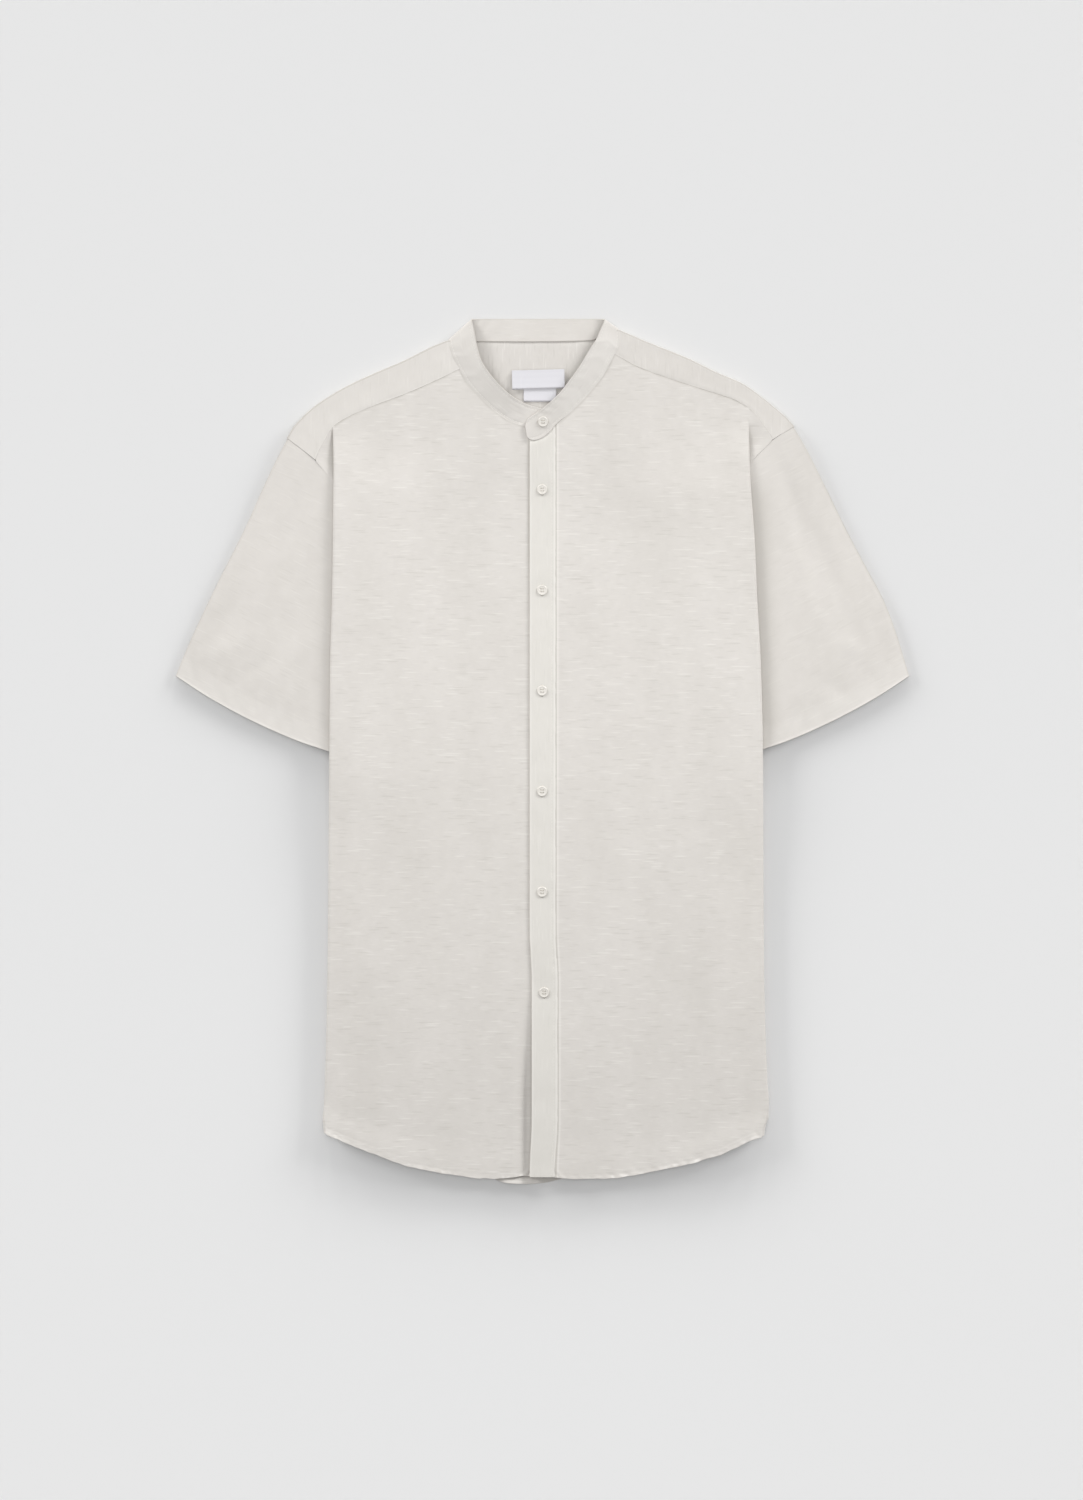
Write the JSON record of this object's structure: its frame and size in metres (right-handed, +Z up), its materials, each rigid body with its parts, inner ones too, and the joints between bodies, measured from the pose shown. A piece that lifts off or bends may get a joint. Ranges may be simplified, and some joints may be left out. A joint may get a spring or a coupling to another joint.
{
  "type": "mandarin collar shirt",
  "caption": "Short-sleeved button-front shirt with a low mandarin collar and curved hem, laid flat on its back with its sides tucked in.",
  "frame": {"origin": "on the surface the shirt lies on, under the middle of its outline", "axes": "+X across towards the wearer's left sleeve, +Y up the body from the hem to the collar, +Z up from the surface to the front of the shirt"},
  "size_m": [0.6802, 0.8028, 0.0128],
  "materials": {
    "cloth": "undyed slub linen and cotton, matt",
    "placket": "undyed linen and cotton, interlined and pressed, matt",
    "collar": "undyed linen and cotton, interlined and pressed, matt",
    "label": "white woven satin tape, blank",
    "button": "off-white polyester resin, satin"
  },
  "bodies": {
    "root": {"back_panel": "cloth", "yoke_outer": "cloth", "yoke_inner": "cloth", "front_right": "cloth", "front_left": "cloth", "placket": "placket", "collar_band": "collar", "sleeve_right": "cloth", "sleeve_left": "cloth", "neck_label": "label", "fit_label": "label", "button_collar": "button", "button_1": "button", "button_2": "button", "button_3": "button", "button_4": "button", "button_5": "button", "button_6": "button"}
  },
  "joints": []
}
